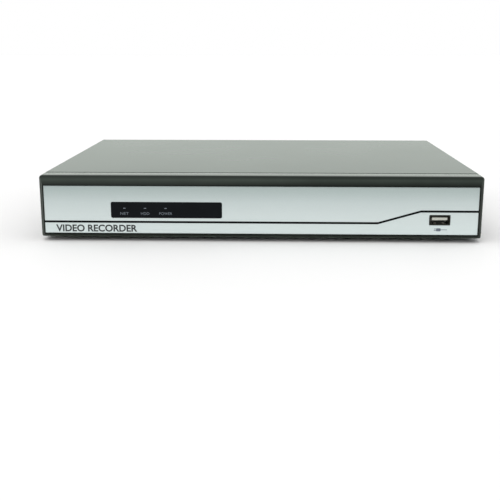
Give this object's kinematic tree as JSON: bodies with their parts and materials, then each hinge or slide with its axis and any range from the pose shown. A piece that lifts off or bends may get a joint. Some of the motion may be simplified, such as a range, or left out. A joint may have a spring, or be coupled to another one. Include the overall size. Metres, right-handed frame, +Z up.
{
  "type": "video recorder",
  "caption": "Desktop video recorder: flat steel case with a slide-off cover, silver front panel, rear video, network and power sockets, and a hard disk drive and fan inside.",
  "frame": {"origin": "on the surface the feet stand on, under the middle of the bounding box", "axes": "+X to the right as seen from the front, +Y towards the rear sockets, +Z up"},
  "size_m": [0.325, 0.256, 0.0485],
  "materials": {
    "panel_paint": "satin light blue-grey paint",
    "cover_paint": "fine-textured satin black paint",
    "black_screw": "blackened steel",
    "foot_rubber": "matt",
    "bezel_plastic": "gloss black",
    "fascia_silver": "satin silver paint",
    "smoked_window": "gloss, dark tint",
    "board_green": "printed circuit board",
    "lamp_clear": "clear",
    "chip_black": "matt",
    "tinned_steel": "tinned, slightly warm",
    "socket_white": "off-white",
    "nickel": "nickel plate",
    "vga_blue": "blue moulding",
    "black_plastic": "matt",
    "terminal_green": "green moulding",
    "heat_sink": "extruded",
    "drive_casting": "cast",
    "drive_lid": "pressed",
    "platter": "mirror polished",
    "zinc_screw": "zinc plate",
    "red_lead": "soft sheath",
    "black_lead": "soft sheath",
    "grey_ribbon": "ribbon sheath"
  },
  "bodies": {
    "chassis": {"chassis_pan": "panel_paint", "foot_front_left": "foot_rubber", "foot_front_right": "foot_rubber", "foot_rear_left": "foot_rubber", "foot_rear_right": "foot_rubber", "front_bezel": "bezel_plastic", "fascia_plate": "fascia_silver", "indicator_window": "smoked_window", "front_board": "board_green", "indicator_network": "lamp_clear", "indicator_disk": "lamp_clear", "indicator_power": "lamp_clear", "remote_receiver": "chip_black", "front_usb_shell": "tinned_steel", "front_usb_tongue": "socket_white", "video_socket_1": "nickel", "video_socket_2": "nickel", "video_socket_3": "nickel", "video_socket_4": "nickel", "video_insulator_1": "socket_white", "video_insulator_2": "socket_white", "video_insulator_3": "socket_white", "video_insulator_4": "socket_white", "audio_socket": "nickel", "audio_insulator": "socket_white", "vga_shell": "tinned_steel", "vga_insert": "vga_blue", "vga_jackscrew_left": "nickel", "vga_jackscrew_right": "nickel", "hdmi_shell": "tinned_steel", "hdmi_tongue": "black_plastic", "port_stack_housing": "tinned_steel", "lan_insert": "black_plastic", "usb_tongue_upper": "black_plastic", "usb_tongue_lower": "black_plastic", "terminal_header": "terminal_green", "power_jack": "black_plastic", "power_jack_pin": "nickel", "main_board": "board_green", "main_chip": "chip_black", "heat_sink": "heat_sink", "fan_frame": "black_plastic", "drive_base": "drive_casting", "drive_lid": "drive_lid", "drive_board": "board_green", "drive_screw_1": "zinc_screw", "drive_screw_2": "zinc_screw", "drive_screw_3": "zinc_screw", "drive_screw_4": "zinc_screw", "disk_data_cable": "red_lead", "disk_power_cable": "black_lead", "front_ribbon": "grey_ribbon", "fan_lead": "black_lead"},
    "cover": {"top_cover": "cover_paint", "cover_screw_left": "black_screw", "cover_screw_right": "black_screw", "cover_screw_top": "black_screw"},
    "fan_rotor": {"fan_rotor": "black_plastic"},
    "platters": {"drive_platters": "platter"},
    "head_arm": {"drive_arm": "drive_casting"}
  },
  "joints": [
    {"name": "cover_slide", "type": "slide", "parent": "chassis", "child": "cover", "axis": [0, 1, 0], "range_m": [0, 0.24]},
    {"name": "fan_spin", "type": "hinge", "parent": "chassis", "child": "fan_rotor", "pos_m": [-0.1524, -0.055, 0.0238], "axis": [1, 0, 0], "continuous": true},
    {"name": "platter_spin", "type": "hinge", "parent": "chassis", "child": "platters", "pos_m": [0.1028, 0.0475, 0.015], "axis": [0, 0, 1], "continuous": true},
    {"name": "arm_swing", "type": "hinge", "parent": "chassis", "child": "head_arm", "pos_m": [0.1288, -0.0035, 0.015], "axis": [0, 0, 1], "range_deg": [-34, 0]}
  ]
}
